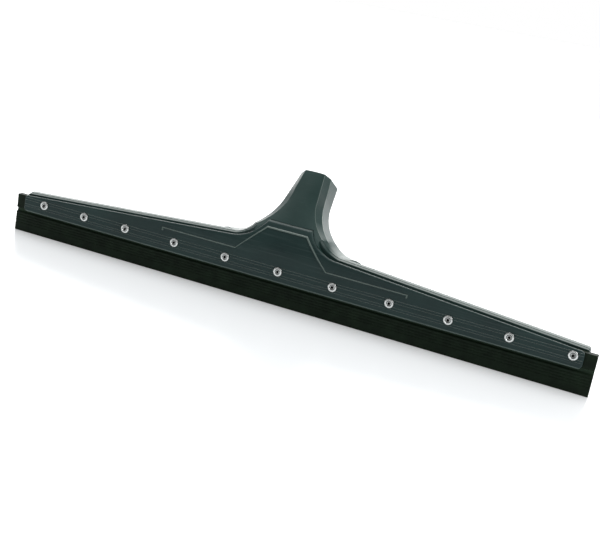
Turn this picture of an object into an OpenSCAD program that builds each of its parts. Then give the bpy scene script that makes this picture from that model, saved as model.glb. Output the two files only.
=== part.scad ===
// Floor squeegee head: a rubber blade clamped by blind rivets between a moulded front plate and a moulded
// rear body that carries the socket for the handle.
// X runs along the blade, Y runs from front to back, Z is up, and the origin is the middle of the wiping edge.

/* [Blade] */
// Length of the rubber blade
blade_length = 550; // [450:1:800]
// Thickness of the rubber
blade_t = 6; // [4:0.5:8]
// Height of the middle of the flex groove above the wiping edge
groove_z = 20; // [14:0.5:40]
// Height of the flex groove between its two shoulders
groove_h = 3.6; // [3:0.1:6]
// Thickness of the round web left in the flex groove
web_t = 2; // [1.4:0.1:3]
// Thickness of the rubber around the web, at the top of the lip
seat_wall = 0.6; // [0.4:0.1:1]
// Height of the clamped root above the middle of the flex groove
root_h = 15; // [14:0.5:16]
// Spacing of the fine grooves along the lip
rib_pitch = 2; // [1.5:0.1:5]
// Depth of the fine grooves along the lip
rib_depth = 0.4; // [0.2:0.05:0.8]
// Plain height left below the first and above the last fine groove
rib_margin = 2; // [1:0.5:6]

/* [Front plate] */
// How far each end of the blade stands out past the front plate
plate_inset = 10; // [4:0.5:20]
// Thickness of the front plate
plate_t = 3; // [2:0.1:6]
// Height of the lower edge of plate and rear body above the middle of the flex groove
plate_lift = 1; // [0.8:0.1:4]
// Height of the front plate at its two ends
plate_end_h = 15.5; // [15:0.5:22]
// Slope of the top edge from the ends to the middle, in degrees
wing_slope = 4.4; // [2:0.1:7]
// Radius of the four outer corners
plate_corner_r = 3.5; // [1:0.1:5]
// Width of the tongue in the middle at its top edge
tongue_w = 41; // [30:1:60]
// Height of the tongue's top edge above the lower edge of the plate
tongue_h = 50.2; // [47:0.2:52]
// Radius of the fillet between the top edge and the tongue
fillet_r = 36; // [30:1:60]
// Height above the lower edge of the plate at which the tongue starts to bend back
bend_z = 23; // [20:0.5:26]
// Radius of that bend, at the front face
bend_r = 41; // [37:1:50]

/* [Raised line] */
// Width of the raised line on the front plate
line_w = 1.3; // [0.8:0.1:3]
// Height of the raised line above the face
line_h = 0.6; // [0.2:0.1:1.5]
// Height of the level run of the line above the lower edge of the plate
line_z = 20.5; // [14:0.5:23]
// Length of the level run from end to end
line_length = 232; // [150:1:260]
// Length of the short hook at each end of the level run
line_hook = 2.2; // [0.5:0.1:4]
// Width of the panel that the line frames, at its foot
panel_foot_w = 86; // [60:1:110]
// How far that panel's upper corners lie in from the tongue's corners
panel_side = 1.8; // [1.2:0.1:8]
// How far the panel's top lies below the tongue's top edge
panel_drop = 5.4; // [3:0.1:12]

/* [Rear body] */
// How far each end of the blade stands out past the rear body
rear_inset = 7; // [4:0.5:20]
// Wall thickness of the rear body behind the blade
rear_wall = 3; // [2:0.1:6]
// Height of the rim and ribs behind that wall
rim_h = 4; // [3.8:0.1:8]
// Thickness of the rim along the edges
rim_t = 2.5; // [1.5:0.1:4]
// Thickness of the ribs between the rivets
rib_t = 2; // [1:0.1:4]
// How far the rear body stands above the front plate's top edge
rear_over = 1.5; // [0.5:0.1:4]
// Depth of the open slot between the two top edges
slot_depth = 2.5; // [1:0.1:5]
// Radius of the upper corners at the two ends
rear_corner_r = 3; // [1:0.1:5]

/* [Handle socket] */
// Lean of the socket away from the blade's plane, in degrees
neck_lean = 40; // [36:1:44]
// Length of the socket from the end of the bend to its mouth
neck_length = 60; // [56:1:90]
// Width of the socket at its mouth, over the back edges of its flanks
neck_w = 36.4; // [34:0.1:46]
// Width over the front edges of its flanks
neck_front_w = 29; // [27:0.5:34]
// Depth of the socket from front to back
neck_d = 31; // [30:0.5:40]
// Width of the flat strip on the socket's front at its mouth
neck_flat_w = 15; // [8:0.5:18]
// How far the flanks' front edges lie before the axis
flank_front = 8; // [6:0.5:10]
// How far the flanks' back edges lie behind the axis
flank_back = 4; // [2:0.5:8]
// Growth of each half of the width over the back edges, per millimetre away from the mouth
neck_taper = 0.08; // [0:0.01:0.1]
// The same growth over the front edges
front_taper = 0.15; // [0.05:0.01:0.2]
// Distance of the flare's wide end below the end of the bend
neck_foot = 16.5; // [12:0.5:18]
// Length of the flare of the flanks above its wide end
flare_run = 46.5; // [40:0.5:48]
// How far that flare spreads on each side
flare_out = 42.4; // [20:0.1:44]
// How much nearer to the mouth it lies on the flanks' back edges
flare_lead = 10; // [6:0.5:12]
// How far the flat strip on the front spreads with it on each side
flat_out = 14; // [8:0.2:18]
// How far the foot runs on below the flare, inside the bar
foot_reach = 9; // [8:0.5:10]
// How far the socket's front lies behind the front plate's face
neck_step = 1; // [0.2:0.1:2]
// Diameter of the bore for the handle
bore_d = 24; // [20:0.5:26]
// Depth of that bore
bore_depth = 55; // [35:1:56]
// Width of the lead-in chamfer at the mouth
bore_chamfer = 1; // [0.5:0.1:1.5]
// Thickness of the material behind the end of the bore
bore_floor = 3; // [2:0.5:6]
// Height of the socket's underside on the rear body, above the rivets
neck_under = 6; // [5:0.5:12]

/* [Rivets] */
// Number of blind rivets
rivet_count = 11; // [6:1:16]
// Height of the rivets above the lower edge of the plate
rivet_z = 10; // [8:0.5:11]
// Distance of the first rivet from the left end of the plate
rivet_margin_left = 22.6; // [8:0.1:40]
// Distance of the last rivet from the right end of the plate
rivet_margin_right = 8.5; // [8:0.1:40]
// Number of the shorter gaps at the left end
short_gaps = 2; // [1:1:4]
// Size of each shorter gap
short_gap = 44.3; // [14:0.1:60]
// Diameter of the rivet's body
rivet_d = 4; // [3:0.2:5]
// Diameter of the rivet's head
rivet_head_d = 8.2; // [6.6:0.1:10]
// Height of the rivet's head
rivet_head_h = 1.3; // [0.8:0.1:2]
// Thickness of the head at its rim
rivet_rim_h = 0.35; // [0.2:0.05:0.6]
// Width of the flat ring on top of the head, outside the rivet's body
rivet_crown = 0.3; // [0.1:0.1:0.6]
// Diameter of the folded tail behind the rear wall
rivet_tail_d = 6.4; // [5.4:0.1:9]
// Length of that tail
rivet_tail_h = 2.4; // [1.6:0.1:2.6]
// Thickness of the tail at its rim
rivet_tail_rim = 0.7; // [0.4:0.1:1.2]
// Diameter of the broken pin inside
mandrel_d = 2.2; // [1.4:0.1:2.4]
// Depth of the broken pin's end below the top of the head
mandrel_sunk = 1.9; // [1:0.1:4]
// Diameter of the pin's head behind the tail
mandrel_head_d = 3.6; // [2.8:0.1:5]
// Height of the pin's head
mandrel_head_h = 1.3; // [0.8:0.1:1.5]
// Thickness of the pin's head at its rim
mandrel_rim = 0.5; // [0.3:0.1:0.7]

/* [Clearances] */
// Gap around a rivet in its holes
rivet_gap = 0.1; // [0.05:0.05:0.3]
// Gap around the broken pin in its rivet
mandrel_gap = 0.05; // [0.02:0.01:0.1]
// Gap around the web in the lip's seat
web_gap = 0.05; // [0.02:0.01:0.1]
// Gap above the blade's root and above the tongue
seat_gap = 0.3; // [0.1:0.05:0.6]

/* [Hidden] */
$fn = 48;
// How far a cutting shape reaches past what it cuts
over = 1;
// Least radius of a round corner
least_r = 0.4;
// A number that counts as nothing
tiny = 0.001;

// Lengths
plate_length = blade_length - 2 * plate_inset;
rear_length = blade_length - 2 * rear_inset;

// Widths of the web's neck, of the lip around it, and where that seat ends below the web's middle
web_neck_t = 0.7 * web_t;
seat_half = web_t / 2 + seat_wall;
seat_drop = 0.2 * web_t;

// Heights
plate_z = groove_z + plate_lift;
hinge_z = groove_z;
root_top = hinge_z + root_h;
rivet_row_z = plate_z + rivet_z;
plate_end_z = plate_z + plate_end_h;
bend_start_z = plate_z + bend_z;
tongue_z = plate_z + tongue_h;

// Planes from front to back
blade_front = -blade_t / 2;
blade_back = blade_t / 2;
plate_front = blade_front - plate_t;
wall_back = blade_back + rear_wall;
rear_back = wall_back + rim_h;

// Rivet places: short gaps from the left end, then equal gaps to the right end
first_x = -plate_length / 2 + rivet_margin_left;
last_x = plate_length / 2 - rivet_margin_right;
even_x = first_x + short_gaps * short_gap;
even_gap = (last_x - even_x) / (rivet_count - 1 - short_gaps);
function rivet_x(i) =
    i - 1 < short_gaps ? first_x + (i - 1) * short_gap : even_x + (i - 1 - short_gaps) * even_gap;
rivet_grip = plate_t + blade_t + rear_wall;

// Bend of the front face: an arc that starts upright and ends in the lean of the socket
bend_end = [plate_front + bend_r * (1 - cos(neck_lean)), bend_start_z + bend_r * sin(neck_lean)];

// Socket: its axis, in the plane X = 0, and the direction across it towards the back
axis_y = sin(neck_lean);
axis_z = cos(neck_lean);
neck_half_d = neck_d / 2;
axis_base = bend_end + (neck_half_d + neck_step) * [axis_z, -axis_y];
mouth = axis_base + neck_length * [axis_y, axis_z];
function on_axis(from_mouth, across) =
    mouth - from_mouth * [axis_y, axis_z] + across * [axis_z, -axis_y];

// Socket sections at a distance u from its mouth: half widths over the flanks' back and front edges and the flat.
// The flare ends at its widest, and from there the foot runs straight on into the bar
flare_end = neck_length + neck_foot;
loft_end = flare_end + foot_reach;
loft_steps = 15;
arc_steps = 6;
loft_u = concat([for (k = [0 : loft_steps]) flare_end * k / loft_steps], [loft_end]);
function flare(u, out) =
    let (v = max(0, min(u, flare_end) - flare_end + flare_run))
        let (r = (flare_run * flare_run + out * out) / (2 * out)) r - sqrt(r * r - v * v);
function half_back(u) = neck_w / 2 + neck_taper * u + flare(u + flare_lead, flare_out);
function half_front(u) = neck_front_w / 2 + front_taper * u + flare(u, flare_out);
function half_flat(u) = neck_flat_w / 2 + neck_taper * u + flare(u, flat_out);

// Top edges of the front plate and of the rear body
function plate_top(x) = plate_end_z + (plate_length / 2 - abs(x)) * tan(wing_slope);
function rear_top(x) = plate_top(x) + rear_over;

// Centre of the fillet: tangent to the sloping top edge, and through the tongue's upper corner
tongue_corner = [tongue_w / 2, tongue_z];
slope_dir = [cos(wing_slope), -sin(wing_slope)];
slope_normal = [sin(wing_slope), cos(wing_slope)];
fillet_from = [0, plate_top(0)] + fillet_r * slope_normal - tongue_corner;
fillet_along = -fillet_from * slope_dir
    + sqrt(pow(fillet_from * slope_dir, 2) - fillet_from * fillet_from + fillet_r * fillet_r);
fillet_foot = [0, plate_top(0)] + fillet_along * slope_dir;
fillet_centre = fillet_foot + fillet_r * slope_normal;

// Draws a shape given in X and Z, and makes it solid from one Y to another
module along_y(from, to) {
    translate([0, to, 0]) rotate([90, 0, 0]) linear_extrude(to - from) children();
}

// Draws a shape given in Y and Z, and makes it solid over a length in X
module along_x(length) {
    rotate([90, 0, 90]) translate([0, 0, -length / 2]) linear_extrude(length) children();
}

// Repeats a shape on the right and, mirrored, on the left
module both_sides() {
    children();
    mirror([1, 0]) children();
}

// What a round corner takes off the corner at the origin of a shape that lies below and to the left
module corner_waste(r) {
    translate([-r, -r]) difference() {
        square(r + over);
        circle(r);
    }
}

// A straight stroke with round ends
module stroke(a, b, w) {
    step = b - a;
    translate(a) rotate(atan2(step[1], step[0])) {
        translate([0, -w / 2]) square([norm(step), w]);
        circle(d = w);
        translate([norm(step), 0]) circle(d = w);
    }
}

// Holes on the rivet row, from one Y to another
module rivet_holes(from, to) {
    for (i = [1 : rivet_count])
        translate([rivet_x(i), from, rivet_row_z])
            rotate([-90, 0, 0]) cylinder(d = rivet_d + 2 * rivet_gap, h = to - from);
}

// Outline of the front plate, seen from the front
module plate_outline() {
    difference() {
        polygon(concat(
            [[-plate_length / 2, plate_z], [plate_length / 2, plate_z], [plate_length / 2, plate_end_z]],
            [fillet_foot, tongue_corner],
            [[-tongue_corner[0], tongue_corner[1]], [-fillet_foot[0], fillet_foot[1]]],
            [[-plate_length / 2, plate_end_z]]
        ));
        both_sides() {
            translate(fillet_centre) circle(fillet_r, $fn = 96);
            translate([plate_length / 2, plate_end_z]) rotate(-wing_slope / 2) corner_waste(plate_corner_r);
            translate([plate_length / 2, plate_z]) mirror([0, 1]) corner_waste(plate_corner_r);
        }
    }
}

// Section of a skin that follows the front face, between two depths behind that face
module face_section(near, far) {
    translate([plate_front + near, 0]) square([far - near, bend_start_z]);
    translate([plate_front + bend_r, bend_start_z]) intersection() {
        difference() {
            circle(bend_r - near, $fn = 180);
            circle(bend_r - far, $fn = 180);
        }
        translate([-2 * bend_r, 0]) square(2 * bend_r);
    }
}

// The decorative line, seen from the front: a framed panel with a level run to each side
module raised_line() {
    top = [tongue_w / 2 - panel_side, tongue_z - panel_drop];
    foot = [panel_foot_w / 2, plate_z + line_z];
    tip = [line_length / 2, plate_z + line_z];
    stroke([-top[0], top[1]], top, line_w);
    both_sides() {
        stroke(top, foot, line_w);
        stroke(foot, tip, line_w);
        stroke(tip, tip - [0, line_hook], line_w);
    }
}

module front_plate() {
    color("#2b3636") difference() {
        union() {
            intersection() {
                along_x(plate_length) face_section(0, plate_t);
                along_y(plate_front - over, rear_back + neck_d) plate_outline();
            }
            intersection() {
                along_x(plate_length) face_section(-line_h, plate_t / 2);
                along_y(plate_front - over, rear_back + neck_d) raised_line();
            }
        }
        rivet_holes(plate_front - over, blade_front + over);
    }
}

// Outline of the rear body's wings, drawn in from their edges by an inset
module wing_outline(inset) {
    half = rear_length / 2 - inset;
    difference() {
        polygon([
            [-half, plate_z + inset], [half, plate_z + inset], [half, rear_top(rear_length / 2) - inset],
            [0, rear_top(0) - inset], [-half, rear_top(rear_length / 2) - inset]
        ]);
        both_sides() translate([half, rear_top(rear_length / 2) - inset])
            rotate(-wing_slope / 2) corner_waste(max(rear_corner_r - inset, least_r));
    }
}

// Spacer above the blade that carries the front plate and leaves an open slot along the top
module spacer_outline() {
    low = root_top + seat_gap;
    reach = plate_length / 2 - (low - plate_end_z + slot_depth) / tan(wing_slope);
    polygon([[-reach, low], [reach, low], [0, plate_top(0) - slot_depth]]);
}

// The socket's outside: sections set along its axis, each of four arcs with flats between them
function section_arc(u, arc) =
    let (f = half_flat(u), on_back = arc < 2, to_right = arc % 3 == 0 ? 1 : -1, to_back = on_back ? 1 : -1)
        let (reach = (on_back ? half_back(u) : half_front(u)) - f, edge = on_back ? flank_back : flank_front) [
            for (k = [0 : arc_steps])
                let (t = 90 * (arc + k / arc_steps))
                    let (p = on_axis(u, to_back * (edge + (neck_half_d - edge) * abs(sin(t)))))
                        [to_right * (f + reach * abs(cos(t))), p[0], p[1]]
        ];
function ring(u) = [for (arc = [0 : 3]) each section_arc(u, arc)];

module neck_loft() {
    n = len(ring(0));
    last = (len(loft_u) - 1) * n;
    polyhedron(
        points = [for (u = loft_u) each ring(u)],
        faces = concat(
            [[for (j = [n - 1 : -1 : 0]) j]],
            [for (k = [0 : len(loft_u) - 2], j = [0 : n - 1])
                let (a = k * n + j, b = k * n + (j + 1) % n, on_right = cos(360 * (j + 0.5) / n) > 0)
                    each on_right ? [[a, b, a + n], [b, b + n, a + n]] : [[a, b, b + n], [a, b + n, a + n]]],
            [[for (j = [0 : n - 1]) last + j]]
        )
    );
}

// Side view of the socket, which ends its underside above the rivets
module neck_section() {
    polygon([
        [rear_back, rivet_row_z + neck_under],
        on_axis(bore_depth + bore_floor, neck_half_d + over),
        on_axis(-over, neck_half_d + over),
        on_axis(-over, -neck_half_d - over),
        [plate_front, tongue_z],
        [plate_front, rivet_row_z + neck_under]
    ]);
}

// Side view of all that lies before a skin at a depth behind the front face
module front_space(depth) {
    reach = neck_d;
    translate([-reach, 0]) square([reach + plate_front + depth, bend_start_z]);
    translate([0, bend_start_z]) difference() {
        translate([-reach, 0]) square([reach + plate_front + bend_r, tongue_z + seat_gap - bend_start_z]);
        translate([plate_front + bend_r, 0]) circle(bend_r - depth, $fn = 180);
    }
}

// Room for the front plate: its own place, and a shallow step beside it on the socket's foot
module plate_room() {
    along_x(2 * rear_length) front_space(neck_step);
    intersection() {
        along_x(2 * rear_length) front_space(plate_t);
        along_y(plate_front - neck_d, rear_back + neck_d) offset(delta = seat_gap) plate_outline();
    }
}

// Pockets in the back, between the rim, the ribs and the socket's foot
module pockets() {
    foot_half = half_back(loft_end) + rim_t;
    difference() {
        wing_outline(rim_t);
        translate([-foot_half, rivet_row_z + neck_under - rim_t / 2]) square([2 * foot_half, neck_length]);
        for (i = [1 : rivet_count - 1])
            translate([(rivet_x(i) + rivet_x(i + 1) - rib_t) / 2, 0]) square([rib_t, tongue_z]);
    }
}

module rear_body() {
    color("#2b3636") difference() {
        union() {
            along_y(blade_back, rear_back) wing_outline(0);
            along_y(blade_front, blade_back + over) spacer_outline();
            intersection() {
                neck_loft();
                along_x(rear_length) neck_section();
            }
        }
        plate_room();
        along_y(wall_back, rear_back + over) pockets();
        translate([0, mouth[0], mouth[1]]) rotate([180 - neck_lean, 0, 0]) {
            cylinder(d = bore_d, h = bore_depth);
            translate([0, 0, -over]) cylinder(
                d1 = bore_d + 2 * bore_chamfer + 2 * over, d2 = bore_d, h = bore_chamfer + over);
        }
        rivet_holes(blade_back - over, wall_back + over);
    }
}

// Clamped root of the blade, with the round web at its foot
module blade_root() {
    color("#15190f") difference() {
        along_x(blade_length) {
            translate([blade_front, hinge_z + groove_h / 2]) square([blade_t, root_h - groove_h / 2]);
            translate([-web_neck_t / 2, hinge_z]) square([web_neck_t, groove_h]);
            translate([0, hinge_z]) circle(d = web_t);
        }
        rivet_holes(blade_front - over, blade_back + over);
    }
}

// Section of the free lip: a plain bar with fine grooves on both faces and a seat for the web
module lip_section() {
    shoulder = hinge_z - groove_h / 2;
    ribs = floor((shoulder - 2 * rib_margin) / rib_pitch);
    difference() {
        union() {
            translate([blade_front, 0]) square([blade_t, shoulder]);
            translate([-seat_half, 0]) square([2 * seat_half, hinge_z - seat_drop]);
        }
        translate([0, hinge_z]) circle(d = web_t + 2 * web_gap);
        both_sides() for (k = [0 : ribs])
            translate([blade_back, rib_margin + k * rib_pitch])
                polygon([[0, -rib_depth], [over, -rib_depth], [over, rib_depth], [0, rib_depth], [-rib_depth, 0]]);
    }
}

module blade_lip() {
    color("#15190f") along_x(blade_length) lip_section();
}

// Puts a turned piece on a rivet's axis, with its own Z pointing back from the front plate's face
module at_rivet(i) {
    translate([rivet_x(i), plate_front, rivet_row_z]) rotate([-90, 0, 0]) children();
}

// Set blind rivet: a domed head with a hole, a tube and a folded tail
module rivet(i) {
    hole = mandrel_d / 2 + mandrel_gap;
    tail_end = rivet_grip + rivet_tail_h;
    color("#c9cccb") at_rivet(i) rotate_extrude() polygon([
        [hole, -rivet_head_h], [rivet_d / 2 + rivet_crown, -rivet_head_h], [rivet_head_d / 2, -rivet_rim_h],
        [rivet_head_d / 2, 0], [rivet_d / 2, 0], [rivet_d / 2, rivet_grip],
        [rivet_tail_d / 2, rivet_grip], [rivet_tail_d / 2, rivet_grip + rivet_tail_rim],
        [rivet_d / 2, tail_end], [hole, tail_end]
    ]);
}

// Broken pin that stays in the rivet, with its head behind the tail
module mandrel(i) {
    head_z = rivet_grip + rivet_tail_h;
    color("#6f7472") at_rivet(i) rotate_extrude() polygon([
        [0, mandrel_sunk - rivet_head_h], [mandrel_d / 2, mandrel_sunk - rivet_head_h],
        [mandrel_d / 2, head_z], [mandrel_head_d / 2, head_z],
        [mandrel_head_d / 2, head_z + mandrel_rim], [mandrel_d / 2, head_z + mandrel_head_h],
        [0, head_z + mandrel_head_h]
    ]);
}

rear_body();
front_plate();
blade_root();
blade_lip();
for (i = [1 : rivet_count]) {
    rivet(i);
    mandrel(i);
}
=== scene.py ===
# %% [markdown]
# # A floor squeegee, dressed in Blender
# The CAD model gives the sizes. This lesson builds finer pieces on top of it, one cell at a time, and
# gives each piece the finish of the real material. All shapes are thought out in millimetres, as on a
# drawing, and turned into metres when a mesh is made.

# %% Load the frame
import math
import bmesh
import bpy
from mathutils import Matrix, Vector


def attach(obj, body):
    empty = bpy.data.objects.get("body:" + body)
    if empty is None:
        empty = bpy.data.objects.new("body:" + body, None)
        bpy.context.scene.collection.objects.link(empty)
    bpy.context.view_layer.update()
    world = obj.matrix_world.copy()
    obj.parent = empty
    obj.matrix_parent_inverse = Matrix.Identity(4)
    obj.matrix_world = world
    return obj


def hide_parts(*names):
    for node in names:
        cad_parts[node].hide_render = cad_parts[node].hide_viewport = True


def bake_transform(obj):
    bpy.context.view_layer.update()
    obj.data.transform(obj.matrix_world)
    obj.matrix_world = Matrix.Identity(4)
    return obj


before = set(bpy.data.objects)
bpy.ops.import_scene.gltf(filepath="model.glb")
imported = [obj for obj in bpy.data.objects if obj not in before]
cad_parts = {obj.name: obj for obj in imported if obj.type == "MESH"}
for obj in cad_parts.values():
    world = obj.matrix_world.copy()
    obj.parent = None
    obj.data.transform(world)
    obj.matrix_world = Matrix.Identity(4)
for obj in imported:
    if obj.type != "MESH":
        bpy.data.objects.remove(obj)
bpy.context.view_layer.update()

MM = 0.001
print("frame:", len(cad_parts), "nodes")

# %% [markdown]
# ## The camera
# A camera can be placed by eye, or worked out from straight edges that are known to be parallel. Here it
# was worked out, so its place and its three axes are plain numbers. The lens follows from the width of
# the picture, 600 pixels, and a focal length of 1038.7 pixels.

# %% Camera
FRAME_PX = 600
FOCAL_PX = 1038.66
CAMERA_AT = (0.3081, -0.8160, 0.2664)
CAMERA_RIGHT = (0.9109, 0.3735, 0.1752)
CAMERA_UP = (-0.2556, 0.1776, 0.9503)
CAMERA_BACK = (0.3238, -0.9105, 0.2572)

lens = bpy.data.cameras.new("camera")
lens.sensor_fit = "HORIZONTAL"
lens.sensor_width = 36
lens.lens = lens.sensor_width * FOCAL_PX / FRAME_PX
lens.dof.use_dof = False
camera = bpy.data.objects.new("camera", lens)
camera.matrix_world = Matrix((
    (CAMERA_RIGHT[0], CAMERA_UP[0], CAMERA_BACK[0], CAMERA_AT[0]),
    (CAMERA_RIGHT[1], CAMERA_UP[1], CAMERA_BACK[1], CAMERA_AT[1]),
    (CAMERA_RIGHT[2], CAMERA_UP[2], CAMERA_BACK[2], CAMERA_AT[2]),
    (0, 0, 0, 1),
))
bpy.context.scene.collection.objects.link(camera)
bpy.context.scene.camera = camera
bpy.context.scene.view_settings.view_transform = "Standard"
print("camera: lens %.1f mm" % lens.lens)

# %% [markdown]
# ## Colours and nodes
# Colours are written as they look on a screen, as sRGB hex values, and Blender calculates with linear
# ones, so one function turns them. A second small function adds a node, gives it its settings, and
# either sets or links each input. Every material below is written with these two. Sizes of patterns are
# real ones in millimetres, and a third function turns them into the scale that a texture asks for.

# %% Helpers for materials
def linear(hex_colour):
    """an sRGB hex value as Blender's linear colour"""
    parts = [int(hex_colour[k:k + 2], 16) / 255 for k in (1, 3, 5)]
    return tuple(c / 12.92 if c <= 0.04045 else ((c + 0.055) / 1.055) ** 2.4 for c in parts) + (1.0,)


def add_node(tree, kind, inputs=None, **settings):
    """a new node with its settings, and with each input set or linked"""
    node = tree.nodes.new(kind)
    for name, value in settings.items():
        setattr(node, name, value)
    for name, value in (inputs or {}).items():
        if isinstance(value, bpy.types.NodeSocket):
            tree.links.new(value, node.inputs[name])
        else:
            node.inputs[name].default_value = value
    return node


def new_material(name):
    """an empty material, its tree, and its Object coordinates"""
    material = bpy.data.materials.new(name)
    material.use_nodes = True
    material.node_tree.nodes.clear()
    place = add_node(material.node_tree, "ShaderNodeTexCoord").outputs["Object"]
    return material, material.node_tree, place


def per_metre(size_mm):
    """a texture's scale for features of this size"""
    return 1 / (size_mm * MM)


print("the screen's middle grey is %.3f in linear light" % linear("#808080")[0])

# %% [markdown]
# ## The room and its lamps
# The object stands in soft light. A world of one brightness would light every side alike, so this one
# is bright behind and dims towards the camera's side: that is why the upright faces look dark and
# every edge that faces up shows a light line. Three soft lamps add to it: a weak one overhead, a wide
# one behind, and one on the right, which gives the flank of the socket its sheen.

# %% Room and lamps
# Each pair is a direction, from -1 towards the front to 1 towards the back, and the light from there.
ROOM_DIM, ROOM_BRIGHT = (-0.75, 0.30), (0.55, 1.0)

world = bpy.data.worlds.new("studio")
bpy.context.scene.world = world
world.use_nodes = True
world.node_tree.nodes.clear()
direction = add_node(world.node_tree, "ShaderNodeTexCoord").outputs["Generated"]
toward = add_node(world.node_tree, "ShaderNodeSeparateXYZ", {"Vector": direction})
room = add_node(world.node_tree, "ShaderNodeMapRange", {
    "Value": toward.outputs["Y"], "From Min": ROOM_DIM[0], "From Max": ROOM_BRIGHT[0],
    "To Min": ROOM_DIM[1], "To Max": ROOM_BRIGHT[1],
}, interpolation_type="SMOOTHSTEP")
sky = add_node(world.node_tree, "ShaderNodeBackground", {
    "Color": linear("#ffffff"), "Strength": room.outputs["Result"]})
add_node(world.node_tree, "ShaderNodeOutputWorld", {"Surface": sky.outputs["Background"]})


def softbox(name, place, target, size, power):
    """a rectangular lamp that faces a point"""
    lamp = bpy.data.lights.new(name, "AREA")
    lamp.shape = "RECTANGLE"
    lamp.size, lamp.size_y = size
    lamp.energy = power
    holder = bpy.data.objects.new(name, lamp)
    holder.location = place
    holder.rotation_euler = (Vector(target) - Vector(place)).to_track_quat("-Z", "Y").to_euler()
    holder.visible_camera = False
    bpy.context.scene.collection.objects.link(holder)


softbox("overhead_box", (-0.5, 0.4, 1.7), (0, 0, 0.05), (1.1, 0.8), 10)
softbox("back_box", (-0.4, 3.0, 0.8), (0, 0, 0.1), (8.0, 1.6), 100)
softbox("right_box", (1.6, -0.2, 1.3), (0, 0, 0.1), (0.8, 1.0), 12)

# %% [markdown]
# ## The white sheet
# A white sheet that runs on behind the object fills the whole picture, so the background is the floor
# itself. It is a smooth satin white, which gives the faint mirror image below the blade. To come out
# white it glows a little, but only for rays from the camera, from a gloss or through glass. So metal
# mirrors the white, no colour gets brighter by it, and the sheet keeps the object's shadow.

# %% Floor
FLOOR_HALF = 60.0
FLOOR_DROP = 0.0002
SHEET_GLOW = 0.27

sheet_white, tree, place = new_material("satin_white_sheet")
path = add_node(tree, "ShaderNodeLightPath").outputs
seen = add_node(tree, "ShaderNodeMath", {
    0: path["Is Camera Ray"], 1: path["Is Glossy Ray"]}, operation="MAXIMUM")
seen = add_node(tree, "ShaderNodeMath", {
    0: seen.outputs[0], 1: path["Is Transmission Ray"]}, operation="MAXIMUM")
glow = add_node(tree, "ShaderNodeMath", {0: seen.outputs[0], 1: SHEET_GLOW}, operation="MULTIPLY")
sheet = add_node(tree, "ShaderNodeBsdfPrincipled", {
    "Base Color": linear("#e0e3e5"), "Roughness": 0.24, "IOR": 1.6,
    "Emission Color": linear("#ffffff"), "Emission Strength": glow.outputs[0],
})
add_node(tree, "ShaderNodeOutputMaterial", {"Surface": sheet.outputs["BSDF"]})

floor_corners = [(-1, -1), (1, -1), (1, 1), (-1, 1)]
floor_mesh = bpy.data.meshes.new("floor")
floor_mesh.from_pydata(
    [(x * FLOOR_HALF, y * FLOOR_HALF, -FLOOR_DROP) for x, y in floor_corners], [], [(0, 1, 2, 3)])
floor_mesh.materials.append(sheet_white)
floor = bpy.data.objects.new("floor", floor_mesh)
bpy.context.scene.collection.objects.link(floor)
print("floor:", 2 * FLOOR_HALF, "m wide, in", sheet_white.name)

# %% [markdown]
# ## Moulded polypropylene
# Both mouldings are polypropylene, coloured through in a dark grey green. The mould is finely blasted,
# so the surface is satin, with a grain that is only just visible. The colour is a little uneven where
# the melt flowed together, and use leaves thin pale scuffs along the bar. What faces up is painted paler:
# a painted highlight for the sheen that top faces catch from the bright room behind. Thin edges and
# raised lines get painted highlights too. A mask could find them, but it would be too coarse for
# lines of a tenth of a millimetre, so a third, paler material is put on their faces. The grain of a real
# mould is about a tenth of a millimetre too. It is drawn four times as coarse, or it wouldn't show.

# %% Material: moulded polypropylene
GRAIN_MM = 0.4
FLOW_MM = 35.0
SCUFF_LONG_MM, SCUFF_WIDE_MM = 40.0, 0.8
# Faces that point up between these limits are painted paler and paler: a painted highlight.
TOP_HIGHLIGHT_FROM, TOP_HIGHLIGHT_FULL = 0.73, 0.95


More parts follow.
